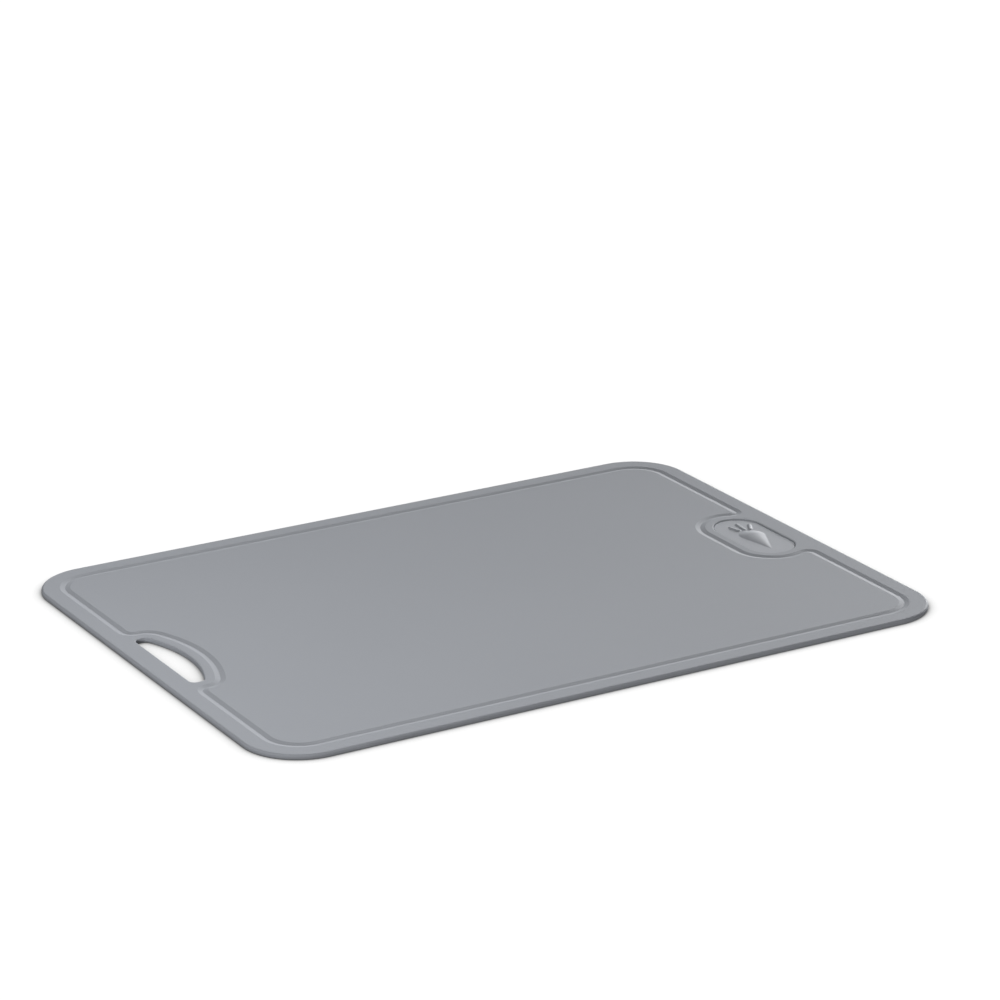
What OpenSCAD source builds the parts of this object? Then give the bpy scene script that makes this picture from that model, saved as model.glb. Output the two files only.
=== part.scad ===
// Flexible cutting mat: a thin moulded sheet with a juice groove, a handle slot and a food badge.
// The origin is the middle of the underside. +X runs along the mat towards the badge, +Y across it, +Z up.
// The sheet bends along lines parallel to X, so it is cut there into a flat middle and narrow strips.

/* [Sheet] */
// Length of the mat, along X
mat_l = 380; // [350:1:420]
// Width of the mat, along Y
mat_w = 280; // [270:1:320]
// Thickness of the sheet
mat_t = 2.5; // [2.2:0.1:4]
// Radius of the four corners, seen from above
corner_r = 30; // [24:1:36]
// Rounding of the sheet's upper edge
top_round = 1.2; // [0.6:0.1:1.4]
// Rounding of the sheet's lower edge
foot_round = 0.7; // [0.3:0.1:0.8]

/* [Juice groove] */
// From the edge of the mat to the middle of the groove
groove_inset = 12; // [10:0.5:14]
// Width of the groove at the cutting face
groove_w = 5.2; // [4:0.1:6]
// Depth of the groove
groove_d = 0.5; // [0.4:0.1:1]

/* [Handle slot] */
// Length of the slot, along Y
slot_l = 65; // [58:1:66]
// Reach of the bowed side from the straight side
slot_reach = 14.3; // [13.5:0.1:18]
// Radius of the bowed side
slot_bow_r = 75; // [70:1:90]
// Rounding of the slot's corners
slot_corner_r = 3; // [2:0.5:3.5]
// From the slot's wall to the middle of the groove that goes round it
slot_land = 7.5; // [6:0.5:9]
// Radius at which the groove turns off to go round the slot
slot_turn_r = 6; // [4:0.5:7]

/* [Food badge] */
// Length of the badge, along Y
badge_l = 56; // [50:1:60]
// Width of the badge, along X
badge_w = 26; // [24:1:30]
// Thickness of the badge's plate
badge_t = 0.8; // [0.6:0.1:0.9]
// How far the plate's face lies below the cutting face
badge_sink = 0.5; // [0.3:0.1:0.6]
// Gap between the badge and the wall of its seat
badge_gap = 0.1; // [0.05:0.05:0.2]
// From the badge to the middle of the groove that goes round it
badge_land = 7; // [6:0.5:9]
// Radius at which the groove turns off to go round the badge
badge_turn_r = 4; // [4:0.5:6]

/* [Vegetable relief] */
// Length of the root, from its head to its tip
root_l = 30; // [24:1:32]
// Width of the root's head
root_w = 14; // [10:1:16]
// Height of the root over the plate
root_h = 0.9; // [0.5:0.1:1.2]
// Length of the middle leaf
leaf_l = 10; // [8:0.5:12]
// How much shorter each outer leaf is
leaf_step = 2; // [0:0.5:3]
// Width of a leaf
leaf_w = 1.4; // [1:0.1:2]
// Height of a leaf over the plate
leaf_h = 0.5; // [0.3:0.1:0.7]
// Gap between the root's head and the leaves
leaf_gap = 1.5; // [0.5:0.5:3]
// Angle between two leaves
leaf_fan = 21; // [16:1:26]
// Turn of the whole drawing, clockwise seen from above
relief_turn = 7; // [0:1:12]

/* [Bending] */
// From the mat's centre line to the first bend line on each side
first_bend = 52; // [50:1:56]
// Distance from each bend line to the next
bend_pitch = 14; // [12:0.5:14]

/* [Hidden] */
$fn = 96;
STRIPS = 4;

// Overrun of every cutter past the face that it cuts
over = 0.3;
sheet_grey = [0.60, 0.61, 0.635];
badge_grey = [0.68, 0.69, 0.72];

// Middle of the corner arcs, which the sheet and its groove share
corner_x = mat_l / 2 - corner_r;
corner_y = mat_w / 2 - corner_r;

// Overrun of the groove's cutter past the cutting face, and its half width there
groove_over = 0.1;
groove_reach = groove_w / 2 * (1 + groove_over / groove_d);
groove_x = mat_l / 2 - groove_inset;
groove_y = mat_w / 2 - groove_inset;
groove_corner_r = corner_r - groove_inset;
// A well is this much wider and deeper than the groove, and the bends end this far inside it
well_extra = 0.15;
well_sink = 0.05;
well_reach = 0.3;

// The slot's straight side lies over the line of the groove's end run
slot_x = -groove_x;
slot_bow_x = slot_x + slot_reach - slot_bow_r;
slot_corner_y = slot_l / 2 - slot_corner_r;
slot_corner_bow_x = slot_bow_x + sqrt(pow(slot_bow_r - slot_corner_r, 2) - pow(slot_corner_y, 2));
slot_bow_deg = asin(slot_corner_y / (slot_bow_r - slot_corner_r));
slot_bend_r = slot_corner_r + slot_land;
slot_turn_x = slot_x + slot_turn_r;
slot_turn_y = slot_corner_y
  + sqrt(pow(slot_bend_r + slot_turn_r, 2) - pow(slot_turn_x - slot_corner_bow_x, 2));
slot_turn_deg = atan2(slot_turn_y - slot_corner_y, slot_turn_x - slot_corner_bow_x);

// The badge's outer side lies over the line of the groove's other end run
badge_x = groove_x - badge_w / 2;
badge_end_y = (badge_l - badge_w) / 2;
badge_bend_r = badge_w / 2 + badge_land;
badge_turn_x = groove_x - badge_turn_r;
badge_turn_y = badge_end_y
  + sqrt(pow(badge_bend_r + badge_turn_r, 2) - pow(badge_turn_x - badge_x, 2));
badge_turn_deg = 180 - atan2(badge_turn_y - badge_end_y, badge_turn_x - badge_x);
badge_face_z = mat_t - badge_sink;
badge_seat_z = badge_face_z - badge_t;

// The root is a ball and the cone that touches it from the tip, sunk so that only a low dome shows
root_ball_r = (root_w * root_w / 4 + root_h * root_h) / (2 * root_h);
root_ball_drop = root_ball_r - root_h;
root_run = root_l - root_w / 2;
root_axis_l = norm([root_run, root_ball_drop]);
root_axis_deg = atan2(root_ball_drop, root_run);
root_cone_deg = asin(root_ball_r / root_axis_l);
root_touch = [root_ball_r * cos(root_cone_deg), root_axis_l - root_ball_r * sin(root_cone_deg)];
relief_l = root_l + leaf_gap + leaf_l;

// Edge of the sheet in section: x runs outwards from the corner's middle, y is up
module edge_section() {
  difference() {
    square([corner_r, mat_t]);
    translate([corner_r - top_round, mat_t - top_round])
      corner_waste(top_round);
    translate([corner_r - foot_round, foot_round])
      mirror([0, 1])
        corner_waste(foot_round);
  }
}

// What a rounding of radius r takes off a square corner
module corner_waste(r) {
  difference() {
    square(r + over);
    circle(r);
  }
}

// Section of the whole sheet across its length
module sheet_section() {
  translate([-corner_x, 0])
    square([2 * corner_x, mat_t]);
  for (side = [0, 1])
    mirror([side, 0])
      translate([corner_x, 0])
        edge_section();
}

// The whole sheet before anything is cut into it
module blank() {
  translate([0, corner_y, 0])
    rotate([90, 0, 0])
      linear_extrude(2 * corner_y)
        sheet_section();
  for (turn = [0, 180])
    rotate([0, 0, turn])
      translate([-corner_x, corner_y, 0])
        rotate([90, 0, 90])
          linear_extrude(2 * corner_x)
            edge_section();
  for (c = [[1, 1, 0], [-1, 1, 90], [-1, -1, 180], [1, -1, 270]])
    translate([c.x * corner_x, c.y * corner_y, 0])
      rotate([0, 0, c.z])
        rotate_extrude(angle = 90)
          edge_section();
}

// The stretch of the sheet between two lines across it
module sheet_between(y_from, y_to) {
  intersection() {
    blank();
    translate([-mat_l, y_from, -mat_t])
      cube([2 * mat_l, y_to - y_from, 3 * mat_t]);
  }
}

// Section of the groove, with the cutting face at y = 0
module groove_section() {
  polygon([[-groove_reach, groove_over], [0, -groove_d], [groove_reach, groove_over]]);
}

// Straight stretch of the groove between two points of the cutting face
module groove_run(from, to) {
  way = to - from;
  translate([from.x, from.y, mat_t])
    rotate([0, 0, atan2(way.y, way.x)])
      rotate([90, 0, 90])
        linear_extrude(norm(way))
          groove_section();
}

// Bend of the groove about a point of the cutting face
module groove_bend(middle, r, from_deg, to_deg) {
  translate([middle.x, middle.y, mat_t])
    rotate([0, 0, from_deg])
      rotate_extrude(angle = to_deg - from_deg)
        translate([r, 0])
          groove_section();
}

// Bend that stops short of the well at its end, and of one at its start too where start_well is 1
module groove_turn(middle, r, from_deg, to_deg, start_well) {
  short_deg = well_reach / r * 180 / PI;
  groove_bend(middle, r, from_deg + start_well * short_deg, to_deg - short_deg);
}

// Round well in which two bends of the groove meet
module groove_well(middle, r, at_deg) {
  translate([middle.x + r * cos(at_deg), middle.y + r * sin(at_deg), mat_t])
    rotate_extrude()
      polygon([
        [0, groove_over],
        [0, -groove_d - well_sink],
        [groove_reach + well_extra, groove_over]
      ]);
}

// One half of the groove's way round the slot, on the side where y is positive
module groove_round_slot() {
  slot_end = [slot_corner_bow_x, slot_corner_y];
  groove_turn([slot_bow_x, 0], slot_bow_r + slot_land, 0, slot_bow_deg, 0);
  groove_well(slot_end, slot_bend_r, slot_bow_deg);
  groove_turn(slot_end, slot_bend_r, slot_bow_deg, slot_turn_deg, 1);
  groove_well(slot_end, slot_bend_r, slot_turn_deg);
  groove_turn([slot_turn_x, slot_turn_y], slot_turn_r, 180, 180 + slot_turn_deg, 0);
  groove_run([-groove_x, slot_turn_y], [-groove_x, corner_y]);
}

// One half of the groove's way round the badge, on the side where y is positive and with x turned over
module groove_round_badge() {
  badge_end = [-badge_x, badge_end_y];
  groove_run([badge_bend_r - badge_x, 0], [badge_bend_r - badge_x, badge_end_y]);
  groove_turn(badge_end, badge_bend_r, 0, badge_turn_deg, 0);
  groove_well(badge_end, badge_bend_r, badge_turn_deg);
  groove_turn([-badge_turn_x, badge_turn_y], badge_turn_r, 180, 180 + badge_turn_deg, 0);
  groove_run([-groove_x, badge_turn_y], [-groove_x, corner_y]);
}

// Everything that the groove takes out of the sheet
module groove() {
  for (side = [0, 1])
    mirror([0, side, 0]) {
      groove_round_slot();
      mirror([1, 0, 0])
        groove_round_badge();
      groove_run([-corner_x, groove_y], [corner_x, groove_y]);
      groove_bend([corner_x, corner_y], groove_corner_r, 0, 90);
      groove_bend([-corner_x, corner_y], groove_corner_r, 90, 180);
    }
}

// Outline of the handle slot: a straight side, two ends and a bowed side, with rounded corners
module slot_outline() {
  touch = slot_bow_r * [cos(slot_bow_deg), sin(slot_bow_deg)] + [slot_bow_x, 0];
  straight_x = slot_x + slot_corner_r;
  translate([slot_x, -slot_corner_y])
    square([slot_corner_bow_x - slot_x, 2 * slot_corner_y]);
  translate([straight_x, -slot_l / 2])
    square([slot_corner_bow_x - straight_x, slot_l]);
  for (side = [-1, 1], x = [straight_x, slot_corner_bow_x])
    translate([x, side * slot_corner_y])
      circle(slot_corner_r);
  polygon([
    [slot_corner_bow_x, -slot_corner_y],
    [touch.x, -touch.y],
    touch,
    [slot_corner_bow_x, slot_corner_y]
  ]);
  intersection() {
    translate([slot_bow_x, 0])
      circle(slot_bow_r);
    translate([touch.x, -touch.y])
      square([slot_reach, 2 * touch.y]);
  }
}

// Oval with round ends, along Y
module oval(w, l) {
  square([w, l - w], center = true);
  for (side = [-1, 1])
    translate([0, side * (l - w) / 2])
      circle(w / 2);
}

// The flat middle of the sheet, with the handle slot and the seat of the badge
module centre_panel() {
  color(sheet_grey)
    difference() {
      sheet_between(-first_bend, first_bend);
      groove();
      translate([0, 0, -over])
        linear_extrude(mat_t + 2 * over)
          slot_outline();
      translate([badge_x, 0, badge_seat_z])
        linear_extrude(badge_sink + badge_t + over)
          oval(badge_w, badge_l);
    }
}

// One of the strips that bend, counted from the middle outwards
module bend_strip(side, index) {
  near = first_bend + (index - 1) * bend_pitch;
  color(sheet_grey)
    mirror([0, side < 0 ? 1 : 0, 0])
      difference() {
        sheet_between(near, near + bend_pitch);
        groove();
      }
}

// The outermost stretch, with two of the corners and a long run of the groove
module long_edge(side) {
  color(sheet_grey)
    mirror([0, side < 0 ? 1 : 0, 0])
      difference() {
        sheet_between(first_bend + STRIPS * bend_pitch, mat_w);
        groove();
      }
}

// The root of the vegetable: a low dome over z = 0 with its tip at the origin, along Y
module root() {
  intersection() {
    rotate([-90 - root_axis_deg, 0, 0])
      rotate_extrude()
        root_profile();
    translate([-root_w, -over, -over])
      cube([2 * root_w, root_l + 2 * over, root_h + 2 * over]);
  }
}

// Half section of the root along its axis, with the tip at the origin
module root_profile() {
  polygon([[0, 0], root_touch, [0, root_touch.y]]);
  intersection() {
    translate([0, root_axis_l])
      circle(root_ball_r);
    translate([0, root_touch.y])
      square(2 * root_ball_r);
  }
}

// One leaf of the fan, which spreads from the middle of the root's head
module leaf(index) {
  length = leaf_l - abs(index) * leaf_step;
  rotate(-index * leaf_fan)
    translate([0, root_w / 2 + leaf_gap + length / 2, -over])
      linear_extrude(leaf_h + over)
        oval(leaf_w, length);
}

// A root vegetable with three leaves, lying along Y about the origin
module vegetable_relief() {
  rotate(-relief_turn)
    translate([0, -relief_l / 2, 0]) {
      root();
      translate([0, root_run, 0])
        for (index = [-1:1])
          leaf(index);
    }
}

// The badge's plate with the relief on it
module food_badge() {
  color(badge_grey)
    translate([badge_x, 0, badge_seat_z]) {
      linear_extrude(badge_t)
        oval(badge_w - 2 * badge_gap, badge_l - 2 * badge_gap);
      translate([0, 0, badge_t])
        vegetable_relief();
    }
}

centre_panel();
food_badge();
for (i = [1:STRIPS]) {
  bend_strip(1, i);
  bend_strip(-1, i);
}
long_edge(1);  // back_edge
long_edge(-1);  // front_edge
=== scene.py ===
import math

import bmesh
import bpy
from mathutils import Matrix, Vector


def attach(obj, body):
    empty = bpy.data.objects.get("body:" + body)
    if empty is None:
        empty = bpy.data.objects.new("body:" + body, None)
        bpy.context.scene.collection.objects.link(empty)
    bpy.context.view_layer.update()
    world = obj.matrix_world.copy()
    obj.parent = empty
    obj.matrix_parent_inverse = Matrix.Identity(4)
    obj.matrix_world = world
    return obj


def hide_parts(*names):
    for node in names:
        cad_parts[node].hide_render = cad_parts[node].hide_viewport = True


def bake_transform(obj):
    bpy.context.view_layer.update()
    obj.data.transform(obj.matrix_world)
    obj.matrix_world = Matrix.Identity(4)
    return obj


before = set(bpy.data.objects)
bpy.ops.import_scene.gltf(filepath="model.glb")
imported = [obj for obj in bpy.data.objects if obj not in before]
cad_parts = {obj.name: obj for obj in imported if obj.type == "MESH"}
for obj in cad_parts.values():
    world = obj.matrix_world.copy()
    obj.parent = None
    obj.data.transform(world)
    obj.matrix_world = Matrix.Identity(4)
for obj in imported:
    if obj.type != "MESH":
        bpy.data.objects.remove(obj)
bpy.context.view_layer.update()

# The camera stands low over the front left corner, at the photograph's viewing angle.
# Its lens is long, because the mat was taken from about two metres away.
camera_place = Vector((-0.9039, -1.5761, 0.6921))
camera_aim = Vector((0.0829, 0.1238, 0.0))
camera_roll = math.radians(-0.39)
camera_lens_mm = 138.67

camera_data = bpy.data.cameras.new("camera")
camera_data.sensor_width = 36
camera_data.lens = camera_lens_mm
camera = bpy.data.objects.new("camera", camera_data)
bpy.context.scene.collection.objects.link(camera)
camera_turn = (camera_aim - camera_place).to_track_quat("-Z", "Y").to_matrix().to_4x4()
camera.matrix_world = (
    Matrix.Translation(camera_place) @ camera_turn @ Matrix.Rotation(camera_roll, 4, "Z"))
bpy.context.scene.camera = camera
bpy.context.scene.view_settings.view_transform = "Standard"


class Socket:
    """An output of a shader node, so that shader maths reads as plain expressions."""

    def __init__(self, finish, output):
        self.finish = finish
        self.output = output

    def _math(self, operation, left, right):
        return self.finish.node("ShaderNodeMath", {"operation": operation}, left, right)

    def __add__(self, other):
        return self._math("ADD", self, other)

    def __radd__(self, other):
        return self._math("ADD", other, self)

    def __sub__(self, other):
        return self._math("SUBTRACT", self, other)

    def __rsub__(self, other):
        return self._math("SUBTRACT", other, self)

    def __mul__(self, other):
        return self._math("MULTIPLY", self, other)

    def __rmul__(self, other):
        return self._math("MULTIPLY", other, self)


class Finish:
    """A node tree; node() adds any node from its type, its settings and its sockets."""

    def __init__(self, owner, end):
        owner.use_nodes = True
        self.owner = owner
        self.tree = owner.node_tree
        self.tree.nodes.clear()
        self.end = self.tree.nodes.new(end)

    def node(self, kind, settings=None, *values, output=0, **named):
        node = self.tree.nodes.new(kind)
        for key, value in (settings or {}).items():
            setattr(node, key, value)
        sockets = list(enumerate(values))
        sockets += [(key.replace("_", " "), value) for key, value in named.items()]
        for key, value in sockets:
            if isinstance(value, Socket):
                self.tree.links.new(value.output, node.inputs[key])
            else:
                node.inputs[key].default_value = value
        return Socket(self, node.outputs[output])

    def surface(self, shader):
        self.tree.links.new(shader.output, self.end.inputs["Surface"])
        return self.owner


def material(name):
    return Finish(bpy.data.materials.new(name), "ShaderNodeOutputMaterial")


# The white surface that the mat lies on.
# It shows as white to the camera, dark only in a narrow painted shadow against the mat's edge,
# its glow dimmed by ambient occlusion; and it throws little light back under the rim.
floor_reach = 6.0
floor_bounce = (0.12, 0.12, 0.12, 1)
shadow_reach = 0.011
shadow_depth = 2.0
floor_glow = 1.06

floor_mesh = bpy.data.meshes.new("floor")
floor_corners = [(x * floor_reach, y * floor_reach, 0) for x, y in ((-1, -1), (1, -1), (1, 1), (-1, 1))]
floor_mesh.from_pydata(floor_corners, [], [(0, 1, 2, 3)])
floor = bpy.data.objects.new("floor", floor_mesh)
bpy.context.scene.collection.objects.link(floor)
paper = material("white_paper")
# Painted shadow: ambient occlusion near the mat dims the floor's glow, whatever the lamps do.
openness = paper.node("ShaderNodeAmbientOcclusion", {"samples": 16}, output="AO", Distance=shadow_reach)
shade = paper.node("ShaderNodeMath", {"operation": "POWER"}, openness, shadow_depth)
paper_glow = paper.node("ShaderNodeEmission", Color=(1, 1, 1, 1), Strength=shade * floor_glow)
paper_body = paper.node("ShaderNodeBsdfDiffuse", Color=floor_bounce)
bounced = paper.node("ShaderNodeLightPath", output="Is Diffuse Ray")
floor_mesh.materials.append(
    paper.surface(paper.node("ShaderNodeMixShader", None, bounced, paper_glow, paper_body)))

# The room: an even white all round, which the camera sees as pure white.
# Low broad light from behind and to the right brightens the groove's walls that face it, a
# softer lamp over the handle end makes that end the palest, and a weak low light from the
# front shows the rounded rim.
room_light = 0.04
key_turn, key_height, key_breadth = math.radians(38), math.radians(12), math.radians(26)
key_strength = 5.8
rim_turn, rim_height, rim_breadth = math.radians(242), math.radians(7), math.radians(6)
rim_strength = 1.0
fill_place = Vector((-0.46, -0.08, 0.50))
fill_size = 0.4
fill_watts = 1.8

world = bpy.data.worlds.new("room")
bpy.context.scene.world = world
room = Finish(world, "ShaderNodeOutputWorld")
sky = room.node("ShaderNodeLightPath", output="Is Camera Ray")
level = room.node("ShaderNodeMath", {"operation": "MAXIMUM"}, sky, room_light)
room.surface(room.node("ShaderNodeBackground", None, (1, 1, 1, 1), level))


def lamp(name, kind, place, energy):
    """A lamp at a place, or from a direction, that shines at the middle of the mat."""
    data = bpy.data.lights.new(name, kind)
    data.energy = energy
    light = bpy.data.objects.new(name, data)
    bpy.context.scene.collection.objects.link(light)
    turn = (-place).to_track_quat("-Z", "Y").to_matrix().to_4x4()
    light.matrix_world = Matrix.Translation(place) @ turn
    return data


def from_angles(turn, height):
    """The direction at an angle round the mat from +X and an angle above the floor."""
    return Vector((math.cos(turn) * math.cos(height), math.sin(turn) * math.cos(height), math.sin(height)))


lamp("key", "SUN", from_angles(key_turn, key_height), key_strength).angle = key_breadth
lamp("rim", "SUN", from_angles(rim_turn, rim_height), rim_strength).angle = rim_breadth
lamp("fill", "AREA", fill_place, fill_watts).size = fill_size

# The sheet: one soft moulding of grey plastic, 2.5 mm thick, with a groove that catches juice.
# It bends, so its skin is cut across into stretches near the bend lines, with rows of cuts
# about each bend line. The groove, the handle slot and the badge's seat have rounded rims.
MM = 0.001
thickness = 2.5 * MM
corner_middle = (160 * MM, 110 * MM)
corner_radius = 30 * MM
top_rounding = 1.2 * MM
foot_rounding = 0.7 * MM
groove_line = (178 * MM, 128 * MM)
groove_half_width = 2.6 * MM
groove_depth = 0.5 * MM
groove_rim_rounding = 1.0 * MM
groove_bottom_rounding = 1.0 * MM
slot_length = 65 * MM
slot_reach = 14.3 * MM
slot_bow_radius = 75 * MM
slot_corner_radius = 3 * MM
slot_rounding = 0.5 * MM
slot_land = 7.5 * MM
slot_turn_radius = 6 * MM
badge_size = (26 * MM, 56 * MM)
badge_land = 7 * MM
badge_turn_radius = 4 * MM
seat_rounding = 0.6 * MM
seat_floor = 1.2 * MM
flat_border = 0.25 * MM
bend_lines = [52 * MM, 66 * MM, 80 * MM, 94 * MM, 108 * MM]
bend_reach = 7 * MM
first_bend_reach = 6 * MM
row_step = 2 * MM
plastic_shine = 0.03


def line(start, end, step):
    """Points along a straight way, each with its normal on the right-hand side; the end is left out."""
    way = Vector(end) - Vector(start)
    count = max(1, math.ceil(way.length / step))
    right = Vector((way.y, -way.x)).normalized()
    return [(Vector(start) + way * (i / count), right) for i in range(count)]


def arc(middle, radius, start, end, step=1.2 * MM):
    """Points along an arc from one angle to another; a falling angle turns the normal inwards."""
    sweep = end - start
    count = max(3, math.ceil(abs(sweep) * radius / step), math.ceil(abs(sweep) / math.radians(7)))
    points = []
    for i in range(count):
        angle = start + sweep * i / count
        out = Vector((math.cos(angle), math.sin(angle)))
        points.append((Vector(middle) + out * radius, out * math.copysign(1, sweep)))
    return points


def mirrored(points):
    """The same way on the other side of the X axis, walked backwards, without its two end points."""
    flip = [(Vector((p.x, -p.y)), Vector((n.x, -n.y))) for p, n in points]
    return flip[:0:-1]


def outline_path():
    x, y = corner_middle
    edge_x, edge_y = x + corner_radius, y + corner_radius
    quarter = math.pi / 2
    return (
        line((edge_x, -y), (edge_x, y), 6 * MM)
        + arc((x, y), corner_radius, 0, quarter)
        + line((x, edge_y), (-x, edge_y), 6 * MM)
        + arc((-x, y), corner_radius, quarter, 2 * quarter)
        + line((-edge_x, y), (-edge_x, -y), 6 * MM)
        + arc((-x, -y), corner_radius, 2 * quarter, 3 * quarter)
        + line((-x, -edge_y), (x, -edge_y), 6 * MM)
        + arc((x, -y), corner_radius, 3 * quarter, 4 * quarter))


slot_bow_middle = -groove_line[0] + slot_reach - slot_bow_radius
slot_end_y = slot_length / 2 - slot_corner_radius
slot_end_x = slot_bow_middle + math.sqrt(
    (slot_bow_radius - slot_corner_radius) ** 2 - slot_end_y ** 2)
slot_bow_angle = math.asin(slot_end_y / (slot_bow_radius - slot_corner_radius))


def slot_path():
    straight_x = -groove_line[0]
    straight_middle = straight_x + slot_corner_radius
    half = [(Vector((slot_bow_middle + slot_bow_radius, 0)), Vector((1, 0)))]
    half += arc((slot_bow_middle, 0), slot_bow_radius, 0, slot_bow_angle)[1:]
    half += arc((slot_end_x, slot_end_y), slot_corner_radius, slot_bow_angle, math.pi / 2, 0.4 * MM)
    half += line((slot_end_x, slot_length / 2), (straight_middle, slot_length / 2), 2 * MM)
    half += arc((straight_middle, slot_end_y), slot_corner_radius, math.pi / 2, math.pi, 0.4 * MM)
    half += line((straight_x, slot_end_y), (straight_x, 0), 3 * MM)
    return half + [(Vector((straight_x, 0)), Vector((-1, 0)))] + mirrored(half)


def badge_path(width, length):
    middle_x = groove_line[0] - badge_size[0] / 2
    end_y = (length - width) / 2
    return (
        line((middle_x + width / 2, -end_y), (middle_x + width / 2, end_y), 3 * MM)
        + arc((middle_x, end_y), width / 2, 0, math.pi, 0.8 * MM)
        + line((middle_x - width / 2, end_y), (middle_x - width / 2, -end_y), 3 * MM)
        + arc((middle_x, -end_y), width / 2, math.pi, 2 * math.pi, 0.8 * MM))


def groove_path():
    x, y = corner_middle
    line_x, line_y = groove_line
    turn_radius = line_y - y
    badge_x = line_x - badge_size[0] / 2
    badge_end = (badge_size[1] - badge_size[0]) / 2
    badge_radius = badge_size[0] / 2 + badge_land
    badge_turn_x = line_x - badge_turn_radius
    badge_turn_y = badge_end + math.sqrt(
        (badge_radius + badge_turn_radius) ** 2 - (badge_turn_x - badge_x) ** 2)
    badge_angle = math.atan2(badge_turn_y - badge_end, badge_turn_x - badge_x)
    slot_radius = slot_corner_radius + slot_land
    slot_turn_x = slot_turn_radius - line_x
    slot_turn_y = slot_end_y + math.sqrt(
        (slot_radius + slot_turn_radius) ** 2 - (slot_turn_x - slot_end_x) ** 2)
    slot_angle = math.atan2(slot_turn_y - slot_end_y, slot_turn_x - slot_end_x)
    half = (
        line((badge_x - badge_radius, 0), (badge_x - badge_radius, badge_end), 3 * MM)
        + arc((badge_x, badge_end), badge_radius, math.pi, badge_angle)
        + arc((badge_turn_x, badge_turn_y), badge_turn_radius, badge_angle - math.pi, 0, 0.5 * MM)
        + line((line_x, badge_turn_y), (line_x, y), 5 * MM)
        + arc((x, y), turn_radius, 0, math.pi / 2)
        + line((x, line_y), (-x, line_y), 6 * MM)
        + arc((-x, y), turn_radius, math.pi / 2, math.pi)
        + line((-line_x, y), (-line_x, slot_turn_y), 5 * MM)
        + arc((slot_turn_x, slot_turn_y), slot_turn_radius, math.pi, math.pi + slot_angle, 0.7 * MM)
        + arc((slot_end_x, slot_end_y), slot_radius, slot_angle, slot_bow_angle, 0.8 * MM)
        + arc((slot_bow_middle, 0), slot_bow_radius + slot_land, slot_bow_angle, 0))
    apex = (Vector((slot_bow_middle + slot_bow_radius + slot_land, 0)), Vector((-1, 0)))
    return half + [apex] + mirrored(half)


def rounding(radius, start, end, steps):
    """Offsets and heights of a quarter rounding about its own middle, one pair per ring."""
    angles = [start + (end - start) * i / steps for i in range(steps + 1)]
    return [(radius * math.cos(a), radius * math.sin(a)) for a in angles]


def groove_profile():
    """Offset from the groove's middle line and height, from its inner side to its outer side."""
    slope = math.atan(groove_depth / groove_half_width)
    bottom_middle = groove_bottom_rounding / math.cos(slope) - groove_depth
    rim_offset = groove_half_width + groove_rim_rounding * math.tan(slope / 2)
    half = []
    for i in range(4):
        angle = slope * i / 3
        half.append((
            groove_bottom_rounding * math.sin(angle),
            bottom_middle - groove_bottom_rounding * math.cos(angle)))
    for i in range(5):
        angle = slope * (1 - i / 4)
        half.append((
            rim_offset - groove_rim_rounding * math.sin(angle),
            groove_rim_rounding * (math.cos(angle) - 1)))
    half.append((rim_offset + flat_border, 0.0))
    whole = [(-offset, height) for offset, height in half[:0:-1]] + half
    return [(offset, thickness + height) for offset, height in whole]


def outer_profile():
    """Offset outwards from the outline and height, from the cutting face down to the underside."""
    inner = [(-top_rounding - flat_border, thickness)]
    top = [
        (x - top_rounding, thickness - top_rounding + z)
        for x, z in rounding(top_rounding, math.pi / 2, 0, 6)]
    foot = [
        (x - foot_rounding, foot_rounding + z)
        for x, z in rounding(foot_rounding, 0, -math.pi / 2, 4)]
    return inner + top + foot + [(-foot_rounding - flat_border, 0.0)]


def hole_profile(radius, floor_height):
    """Offset out of a hole and height, from the cutting face down to floor_height."""
    rim = [(radius - x, thickness - radius + z) for x, z in rounding(radius, math.pi / 2, 0, 4)]
    return [(radius + flat_border, thickness)] + rim + [(0.0, floor_height)]


def through_profile(radius):
    """A hole's profile with a rounding at the underside too."""
    foot = [(radius - x, radius + z) for x, z in rounding(radius, 0, -math.pi / 2, 4)]
    return hole_profile(radius, radius)[:-1] + foot + [(radius + flat_border, 0.0)]


def sweep_rings(mesh, path, profile):
    """Quads between rings that follow a closed path; gives back the edges of the first and last ring."""
    rings = [
        [mesh.verts.new((p.x + n.x * offset, p.y + n.y * offset, height)) for p, n in path]
        for offset, height in profile]
    count = len(path)
    for upper, lower in zip(rings, rings[1:]):
        for i in range(count):
            j = (i + 1) % count
            mesh.faces.new((upper[i], lower[i], lower[j], upper[j]))
    return [
        [mesh.edges.get((ring[i], ring[(i + 1) % count])) for i in range(count)]
        for ring in (rings[0], rings[-1])]


def whole_skin():
    """The closed skin of the whole sheet, before it is cut into stretches."""
    mesh = bmesh.new()
    edge_top, edge_foot = sweep_rings(mesh, outline_path(), outer_profile())
    groove_inner, groove_outer = sweep_rings(mesh, groove_path(), groove_profile())
    slot_top, slot_foot = sweep_rings(mesh, slot_path(), through_profile(slot_rounding))
    seat_top, seat_foot = sweep_rings(mesh, badge_path(*badge_size), hole_profile(seat_rounding, seat_floor))
    for border, up in (
            (edge_top + groove_outer + slot_top + seat_top, 1),
            (groove_inner, 1), (seat_foot, 1), (edge_foot + slot_foot, -1)):
        bmesh.ops.triangle_fill(mesh, edges=border, use_beauty=True, normal=(0, 0, up))
    bmesh.ops.recalc_face_normals(mesh, faces=mesh.faces)
    return mesh


def cut_across(mesh, place, side=1, drop_beyond=False):
    """Cut a mesh along the line across the sheet at y = place, and drop what lies beyond it if asked."""
    everything = mesh.verts[:] + mesh.edges[:] + mesh.faces[:]
    return bmesh.ops.bisect_plane(
        mesh, geom=everything, dist=1e-7, plane_co=(0, place, 0), plane_no=(0, side, 0),
        clear_outer=drop_beyond)


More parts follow.
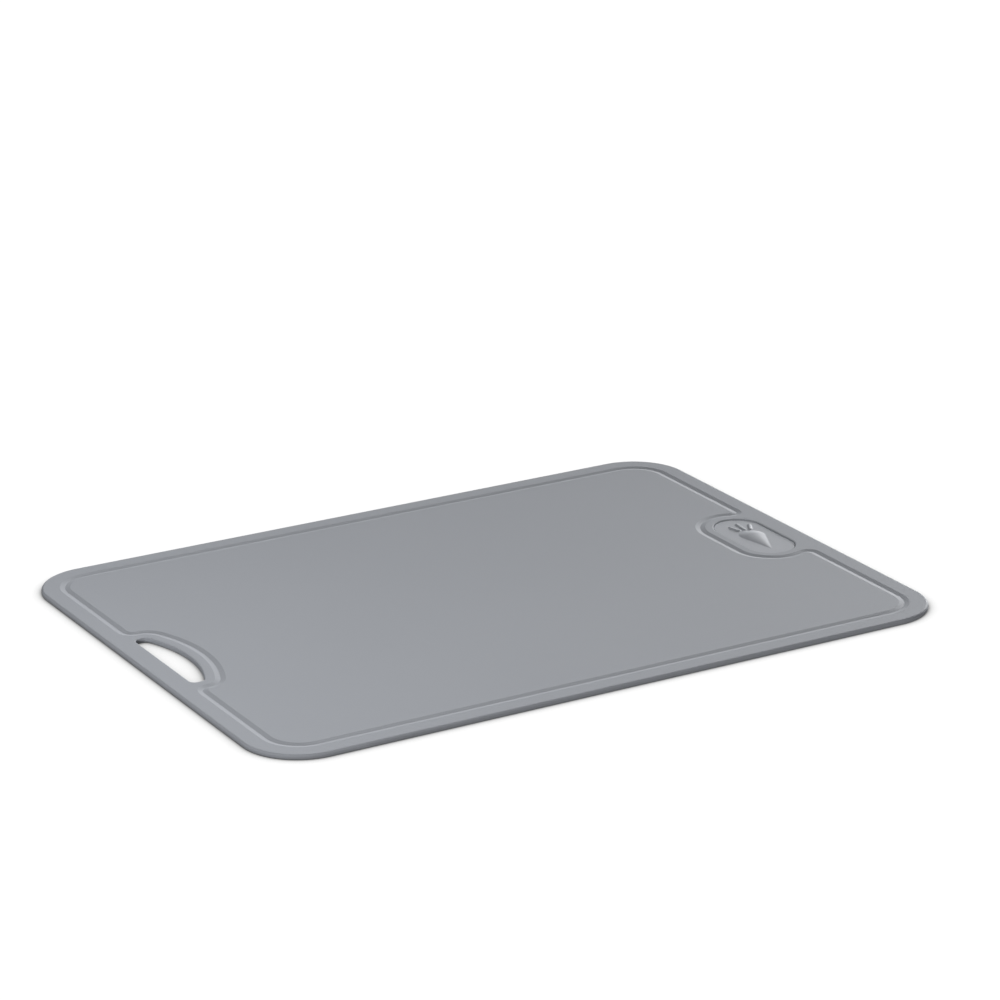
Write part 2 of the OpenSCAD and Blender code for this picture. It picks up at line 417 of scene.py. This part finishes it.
def stretch_of(skin, low, high, name):
    """The closed stretch of the skin from one cut across the sheet to the next."""
    part = skin.copy()
    for place, side in ((low, -1), (high, 1)):
        if place is None:
            continue
        cut = cut_across(part, place, side, drop_beyond=True)
        rim = [item for item in cut["geom_cut"] if isinstance(item, bmesh.types.BMEdge)]
        bmesh.ops.triangle_fill(part, edges=rim, use_beauty=True, normal=(0, side, 0))
    bmesh.ops.recalc_face_normals(part, faces=part.faces)
    data = bpy.data.meshes.new(name)
    part.to_mesh(data)
    part.free()
    data.shade_smooth()
    data.set_sharp_from_angle(angle=math.radians(40))
    piece = bpy.data.objects.new(name, data)
    bpy.context.scene.collection.objects.link(piece)
    return piece


def add_rows(skin, start, end):
    """Cuts across the sheet without parting it, so that it can turn smoothly between them."""
    rows = round(abs(end - start) / row_step)
    for i in range(1, rows + 1):
        cut_across(skin, start + (end - start) * i / rows)


def satin_plastic(name, dark, pale, roughness, grain):
    """Moulded plastic with a satin face: a slow drift of tone and the mould's fine grain."""
    finish = material(name)
    place = finish.node("ShaderNodeTexCoord", output="Object")
    cloud = finish.node("ShaderNodeTexNoise", None, output="Fac", Vector=place, Scale=9.0, Detail=3.0)
    tone = finish.node("ShaderNodeMixRGB", None, cloud, dark, pale)
    fine = finish.node("ShaderNodeTexNoise", None, output="Fac", Vector=place, Scale=1400.0, Detail=2.0)
    rough = fine * 0.08 + (roughness - 0.04)
    bump = finish.node("ShaderNodeBump", None, output="Normal", Strength=grain, Distance=0.0001, Height=fine)
    return finish.surface(finish.node(
        "ShaderNodeBsdfPrincipled", None, Base_Color=tone, Roughness=rough, Normal=bump,
        Specular_IOR_Level=plastic_shine))


sheet_plastic = satin_plastic(
    "sheet_plastic", (0.376, 0.393, 0.426, 1), (0.391, 0.408, 0.441, 1), 0.62, 0.2)
stretch_edges = [bend_lines[0] - first_bend_reach] + [bend + bend_reach for bend in bend_lines[:-1]]
skin = whole_skin()
for side in (1, -1):
    for near, bend in zip(stretch_edges, bend_lines):
        add_rows(skin, side * near, side * (bend + bend_reach))

panel = stretch_of(skin, -stretch_edges[0], stretch_edges[0], "sheet_panel")
panel.data.materials.append(sheet_plastic)
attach(panel, "centre_panel")
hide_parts("centre_panel")
for word, side in (("back", 1), ("front", -1)):
    bodies = ["centre_panel"] + [f"{word}_strip_{i}" for i in range(1, 5)] + [f"{word}_edge"]
    for i, bend in enumerate(bend_lines):
        near = stretch_edges[i]
        far = stretch_edges[i + 1] if i + 1 < len(stretch_edges) else None
        if side > 0:
            piece = stretch_of(skin, near, far, f"sheet_{word}_{i + 1}")
        else:
            piece = stretch_of(skin, None if far is None else -far, -near, f"sheet_{word}_{i + 1}")
        piece.data.materials.append(sheet_plastic)
        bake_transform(piece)
        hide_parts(bodies[i + 1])
skin.free()

# The food badge: a smoother, slightly paler pad in a shallow seat, with a root vegetable on it.
# It is moulded, so its relief rises from the plate with soft edges.
badge_voxel = 0.25 * MM
badge_smoothing = 4

badge_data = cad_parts["food_badge"].data.copy()
badge_data.name = "badge_pad"
merged = bmesh.new()
merged.from_mesh(badge_data)
bmesh.ops.remove_doubles(merged, verts=merged.verts, dist=1e-6)
merged.to_mesh(badge_data)
merged.free()
badge = bpy.data.objects.new("badge_pad", badge_data)
bpy.context.scene.collection.objects.link(badge)
remesh = badge.modifiers.new("moulded", "REMESH")
remesh.mode = "VOXEL"
remesh.voxel_size = badge_voxel
softened = badge.modifiers.new("softened", "SMOOTH")
softened.iterations = badge_smoothing
shaped = bpy.data.meshes.new_from_object(badge.evaluated_get(bpy.context.evaluated_depsgraph_get()))
badge.modifiers.clear()
badge.data = shaped
shaped.name = "badge_pad"
shaped.shade_smooth()
shaped.materials.clear()
shaped.materials.append(satin_plastic(
    "badge_plastic", (0.436, 0.454, 0.489, 1), (0.444, 0.462, 0.497, 1), 0.55, 0.05))
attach(badge, "centre_panel")
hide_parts("food_badge")
